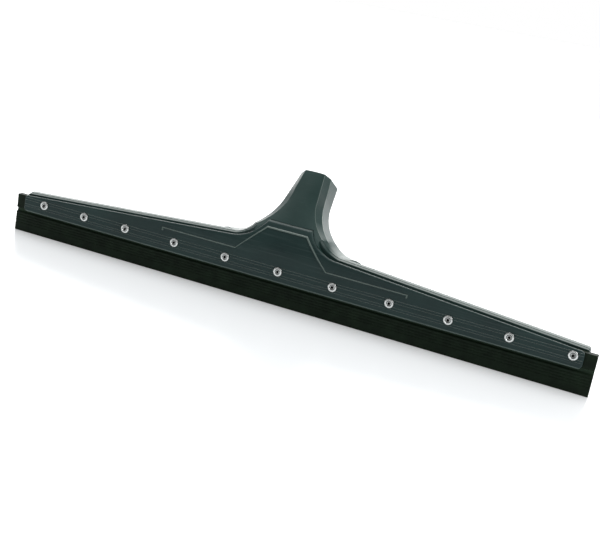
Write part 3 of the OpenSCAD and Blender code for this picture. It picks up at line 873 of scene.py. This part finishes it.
# %% Rear body: trim of the band
OPEN_INSET, OPEN_RISE, OPEN_LATE = 4.5, 1.5, 14.0
TRIM_RISE, TRIM_TOP, TRIM_REACH = 6.0, 90.0, 40
TRIM_FRONT, TRIM_BACK, TRIM_STEPS = -40.0, 60.0, 8
TILT_FIRST = 0.5

trim_profile = [(TRIM_FRONT, OPEN_INSET), (BAR_PROFILE[0][0] - HAIR, OPEN_INSET)]
trim_profile += BAR_PROFILE[:TRIM_STEPS] + ((TRIM_BACK, 0.0),)
trims = []
for side in (-1, 1):
    trim_rings = []
    for y, inset in trim_profile:
        way = (y - BLADE_BACK) / (REAR_BACK - BLADE_BACK)
        tilt = min(1.0, TILT_FIRST + (1 - TILT_FIRST) * way)
        if inset == OPEN_INSET:
            curve = band_curve(inset, OPEN_RISE, OPEN_LATE)
        else:
            curve = band_curve(inset, TRIM_RISE * tilt)
        start = curve[0] + slope_dir * TRIM_REACH
        outline = [start] + curve + [Vector((curve[-1].x, TRIM_TOP)), Vector((start.x, TRIM_TOP))]
        trim_rings.append([(side * p.x, y, p.y) for p in outline])
    trims.append(solid("band_trim", trim_rings, body_plastic))
combined(socket, trims, "DIFFERENCE")
report(socket)

# %% [markdown]
# ## The rear body: room for the tongue, and the bore
# The tongue lies on the socket's foot, so the body needs a recess of its shape with a little air round
# it, and the neck beside it stands a millimetre behind the plate's face. Both tools come from the
# plate's own skin. The bore for the handle is a turned profile with a chamfered mouth. Then bar, socket
# and spacer are joined, and the three tools are cut out of them.

# %% Rear body: recess and bore
NECK_STEP, SKIN_STEPS = 1.0, 24
SKIN_FRONT, SKIN_HALF, ROOM_BACK = -40.0, 300, 40
BORE_R, BORE_DEPTH, BORE_SIDES = 12.0, 55.0, 64
POLE_R = 0.001
BORE_PROFILE = (
    (POLE_R, BORE_DEPTH), (BORE_R - 1, BORE_DEPTH), (BORE_R, BORE_DEPTH - 1), (BORE_R, 1.1),
    (BORE_R + 0.3, 0.6), (BORE_R + 1, 0.0), (BORE_R + 2, -0.9), (BORE_R + 2, -3.0), (POLE_R, -3.0),
)


def before_skin(name, depth):
    """a cutting tool: all that lies before a skin at a depth behind the plate's face"""
    top = TONGUE[1] + SEAT_GAP
    side = [(SKIN_FRONT, 0.0), (PLATE_FRONT + depth, 0.0)]
    for k in range(SKIN_STEPS + 1):
        z = BEND_Z + (top - BEND_Z) * k / SKIN_STEPS
        side.append((face_y(z, depth), z))
    side.append((SKIN_FRONT, top))
    return solid(name, [[(x, y, z) for y, z in side] for x in (-SKIN_HALF, SKIN_HALF)], body_plastic)


step_room = before_skin("step_room", NECK_STEP)
plate_room = pulled("plate_room", drawn_in(plate_outline, -SEAT_GAP), FAR_FRONT, ROOM_BACK)
combined(plate_room, [before_skin("plate_skin", PLATE_T)], "INTERSECT")

bore_rings = []
for r, u in BORE_PROFILE:
    ring = []
    for k in range(BORE_SIDES):
        t = 2 * math.pi * k / BORE_SIDES
        ring.append((r * math.cos(t), *on_axis(u, r * math.sin(t))))
    bore_rings.append(ring)
bore = solid("bore", bore_rings, body_plastic)

combined(body, [socket, spacer], "UNION")
combined(body, [step_room, plate_room, bore], "DIFFERENCE")
report(body)

# %% [markdown]
# ## The rear body: pockets
# The back of the bar is hollowed between ribs, which keeps the walls even so that they don't sink as
# they cool. Each pocket is a cutting tool of its own: a stack of rings that is narrower at its floor and
# flares at its mouth, so the cut leaves rounded corners and a small chamfer. Pockets that meet the
# socket's foot stop below it.

# %% Rear body: pockets
RIM_T, RIB_T, POCKET_ROUND = 2.5, 2.0, 1.5
FOOT_HALF, FOOT_LOW = 66.7, 35.75
POCKET_PROFILE = ((WALL_BACK, 0.7), (6.2, 0.25), (6.7, 0.0), (9.6, -0.15), (10.05, -0.5), (11.0, -0.5))
BODY_SHARP = 32

ribs = [(a + b) / 2 for a, b in zip(rivet_row, rivet_row[1:])]
walls = [-REAR_HALF + RIM_T - RIB_T / 2] + ribs + [REAR_HALF - RIM_T + RIB_T / 2]


def rim_top(x):
    """the top of a pocket, below the bar's rim"""
    return plate_top(x) + REAR_OVER - RIM_T


def pocket_corners(a, b):
    """the corners of the pocket from a to b, cut back where the socket's foot stands"""
    low, beside = PLATE_LOW + RIM_T, rim_top(FOOT_HALF)
    corners = [(a, low), (b, low)]
    if a > -FOOT_HALF and b < FOOT_HALF:
        return corners + [(b, FOOT_LOW), (a, FOOT_LOW)]
    if a < -FOOT_HALF < b:
        return corners + [(b, FOOT_LOW), (-FOOT_HALF, FOOT_LOW), (-FOOT_HALF, beside), (a, rim_top(a))]
    if a < FOOT_HALF < b:
        return corners + [(b, rim_top(b)), (FOOT_HALF, beside), (FOOT_HALF, FOOT_LOW), (a, FOOT_LOW)]
    return corners + [(b, rim_top(b)), (a, rim_top(a))]


pockets = []
for k, (a, b) in enumerate(zip(walls, walls[1:])):
    corners = pocket_corners(a + RIB_T / 2, b - RIB_T / 2)
    outline = rounded(corners, [POCKET_ROUND] * len(corners))
    pocket_rings = [[(p.x, y, p.y) for p in drawn_in(outline, inset)] for y, inset in POCKET_PROFILE]
    pockets.append(solid("pocket_%d" % k, pocket_rings, body_plastic))

combined(body, pockets, "DIFFERENCE")
combined(body, rivet_drills(BLADE_BACK, WALL_BACK), "DIFFERENCE")
smoothed(body, BODY_SHARP)
report(body)

# %% [markdown]
# ## The rubber blade
# One extrusion, as it comes out of the die: a root that the rivets clamp, a flex groove with sloping
# shoulders on both faces, and a free lip with four fine grooves in its upper part. A profile is drawn
# once and pulled along X.

# %% Blade
BLADE_HALF, ROOT_TOP, ROOT_MIDDLE = 275.0, 35.0, 28.0
HINGE_Z, GROOVE_HALF, WEB_HALF = 20.0, 1.8, 1.0
GROOVE_SIDE = (
    (BLADE_BACK, -2.5), (2.8, -2.1), (1.7, -1.5), (1.15, -1.1),
    (WEB_HALF, -0.7), (WEB_HALF, -0.35), (WEB_HALF, 0.0), (WEB_HALF, 0.35), (WEB_HALF, 0.7),
    (1.15, 1.1), (1.7, 1.5), (2.8, 1.9), (BLADE_BACK, 2.2),
)
RIB_FIRST, RIB_PITCH, RIB_DEPTH, RIB_COUNT = 8.3, 2.5, 0.4, 4
RIB_SHAPE = ((-0.9, 0.0), (-0.6, 0.4), (0.0, 1.0), (0.6, 0.4), (0.9, 0.0))
END_ROUND = 0.3
BLADE_ENDS = (
    (-BLADE_HALF, END_ROUND), (-BLADE_HALF + END_ROUND, 0),
    (BLADE_HALF - END_ROUND, 0), (BLADE_HALF, END_ROUND),
)
BLADE_SHARP = 25

back_face = [(BLADE_BACK - 0.1, 0.0), (BLADE_BACK, 0.15)]
for k in range(RIB_COUNT):
    z = RIB_FIRST + RIB_PITCH * k
    back_face += [(BLADE_BACK - share * RIB_DEPTH, z + up) for up, share in RIB_SHAPE]
back_face += [(y, HINGE_Z + up) for y, up in GROOVE_SIDE]
back_face += [(BLADE_BACK, ROOT_MIDDLE), (BLADE_BACK, ROOT_TOP - 0.2), (BLADE_BACK - 0.2, ROOT_TOP)]
profile = back_face + [(-y, z) for y, z in reversed(back_face)]

blade_rings = []
for x, shrink in BLADE_ENDS:
    ring = []
    for y, z in profile:
        narrow = y - math.copysign(min(shrink, abs(y) / 4), y)
        ring.append((x, narrow, min(max(z, shrink), ROOT_TOP - shrink)))
    blade_rings.append(ring)
blade = solid("rubber_blade", blade_rings, rubber)
combined(blade, rivet_drills(BLADE_FRONT, BLADE_BACK), "DIFFERENCE")
smoothed(blade, BLADE_SHARP)
report(blade)

# %% [markdown]
# ## Rivets and pins: the row
# Eleven equal rivets stand in a row, so Geometry Nodes repeat one of them. The tree makes a point for
# each rivet, works out its place from its number, gives each one a turn of its own, and ends as one
# plain mesh. Its sizes are named inputs, so the same tree repeats the pins.

# %% Rivets: the tree that repeats a fastener
ROW_INPUTS = (
    ("Count", "Int"), ("First", "Float"), ("Short gap", "Float"), ("Short gaps", "Float"),
    ("Even gap", "Float"), ("Height", "Float"), ("Face", "Float"), ("Seed", "Int"), ("Material", "Material"),
)

row_tree = bpy.data.node_groups.new("fastener_row", "GeometryNodeTree")
row_tree.interface.new_socket("Geometry", in_out="INPUT", socket_type="NodeSocketGeometry")
row_tree.interface.new_socket("Geometry", in_out="OUTPUT", socket_type="NodeSocketGeometry")
row_inputs = {}
for name, kind in ROW_INPUTS:
    entry = row_tree.interface.new_socket(name, in_out="INPUT", socket_type="NodeSocket" + kind)
    row_inputs[name] = entry.identifier

given = add_node(row_tree, "NodeGroupInput").outputs
number = add_node(row_tree, "GeometryNodeInputIndex").outputs[0]
few = add_node(row_tree, "ShaderNodeMath", {0: number, 1: given["Short gaps"]}, operation="MINIMUM")
many = add_node(row_tree, "ShaderNodeMath", {0: number, 1: few.outputs[0]}, operation="SUBTRACT")
near = add_node(row_tree, "ShaderNodeMath", {
    0: few.outputs[0], 1: given["Short gap"], 2: given["First"]}, operation="MULTIPLY_ADD")
far = add_node(row_tree, "ShaderNodeMath", {
    0: many.outputs[0], 1: given["Even gap"], 2: near.outputs[0]}, operation="MULTIPLY_ADD")
spot = add_node(row_tree, "ShaderNodeCombineXYZ", {
    "X": far.outputs[0], "Y": given["Face"], "Z": given["Height"]})
row_points = add_node(row_tree, "GeometryNodePoints", {"Count": given["Count"], "Position": spot.outputs[0]})
turn = add_node(row_tree, "FunctionNodeRandomValue", {"Seed": given["Seed"]}, data_type="FLOAT")
turn.inputs[2].default_value, turn.inputs[3].default_value = 0.0, 2 * math.pi
spin = add_node(row_tree, "ShaderNodeCombineXYZ", {"Y": turn.outputs[1]})
copies = add_node(row_tree, "GeometryNodeInstanceOnPoints", {
    "Points": row_points.outputs[0], "Instance": given["Geometry"], "Rotation": spin.outputs[0]})
real = add_node(row_tree, "GeometryNodeRealizeInstances", {"Geometry": copies.outputs[0]})
dressed = add_node(row_tree, "GeometryNodeSetMaterial", {
    "Geometry": real.outputs[0], "Material": given["Material"]})
add_node(row_tree, "NodeGroupOutput", {"Geometry": dressed.outputs[0]})
print("tree:", row_tree.name, len(row_tree.nodes), "nodes")

# %% [markdown]
# ## Rivets and pins: their shapes
# A set blind rivet has a domed head with a dished middle: a bright ring, a darker groove, and a narrow
# collar round the hole. Behind the wall its tube has folded into a bulb. The pin ends in the head that
# folded it. Both are turned from a profile of radius and height above the plate. The rivet's profile
# goes all the way round, because the rivet is hollow.

# %% Rivets and pins
TAIL = -12.0
FASTENER_SIDES, FASTENER_SHARP = 40, 40
RIVET_SEED, PIN_SEED = 3, 5
RIVET_PROFILE = (
    (1.15, 0.3), (1.2, 0.75), (1.35, 0.95), (1.55, 1.0), (1.75, 0.85), (1.95, 0.6), (2.15, 0.55),
    (2.35, 0.75), (2.5, 1.1), (2.7, 1.28), (3.0, 1.28), (3.4, 1.18), (3.75, 1.0), (3.95, 0.78),
    (4.06, 0.5), (4.1, 0.25), (4.1, 0.0), (2.0, 0.0), (2.0, TAIL), (2.9, TAIL), (3.15, TAIL - 0.25),
    (3.2, TAIL - 0.6), (3.0, TAIL - 1.2), (2.5, TAIL - 1.9), (2.0, TAIL - 2.3), (1.6, TAIL - 2.4),
    (1.15, TAIL - 2.35), (1.15, -3.0),
)
PIN_PROFILE = (
    (0.02, -1.6), (0.5, -1.65), (0.85, -1.8), (1.05, -2.0), (1.1, -2.3), (1.1, TAIL - 2.4),
    (1.75, TAIL - 2.4), (1.8, TAIL - 2.55), (1.8, TAIL - 2.9), (1.5, TAIL - 3.4), (1.0, TAIL - 3.65),
    (0.02, TAIL - 3.7),
)


def fastener_row(name, turned_profile, material, seed, hollow):
    """turns a profile of radius and height above the plate, and repeats it along the row"""
    rings = []
    for r, h in turned_profile:
        angles = [2 * math.pi * k / FASTENER_SIDES for k in range(FASTENER_SIDES)]
        rings.append([(r * math.cos(a), -h, r * math.sin(a)) for a in angles])
    piece = solid(name, rings, material, looped=hollow)
    smoothed(piece, FASTENER_SHARP)
    row = piece.modifiers.new("row", "NODES")
    row.node_group = row_tree
    sizes = {
        "Count": RIVET_COUNT, "First": RIVET_FIRST * MM, "Short gap": SHORT_GAP * MM,
        "Short gaps": float(SHORT_GAPS), "Even gap": EVEN_GAP * MM, "Height": RIVET_Z * MM,
        "Face": PLATE_FRONT * MM, "Seed": seed, "Material": material,
    }
    for label, value in sizes.items():
        row[row_inputs[label]] = value
    return settled(piece)


rivets = fastener_row("blind_rivets", RIVET_PROFILE, aluminium, RIVET_SEED, hollow=True)
report(rivets)
pins = fastener_row("broken_pins", PIN_PROFILE, steel, PIN_SEED, hollow=False)
report(pins)

# %% [markdown]
# ## Fitting to the frame
# Each row names a piece, the body it rides on, the slot of the record that holds its finish, and the CAD
# nodes it stands for. The piece is attached to its body and those nodes are hidden; the slot is not used
# here. The blade is not attached: it is baked in place, and the CAD's blade root and lip are hidden.

# %% Fit to the frame
for piece, body_name, slot, nodes in (
    (plate, "head", "front_plate", ["front_plate"]),
    (body, "head", "rear_body", ["rear_body"]),
    (rivets, "head", "rivets", ["rivet_%d" % (k + 1) for k in range(RIVET_COUNT)]),
    (pins, "head", "rivet_pins", ["mandrel_%d" % (k + 1) for k in range(RIVET_COUNT)]),
):
    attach(piece, body_name)
    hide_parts(*nodes)

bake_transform(blade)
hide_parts("blade_root", "blade_lip")
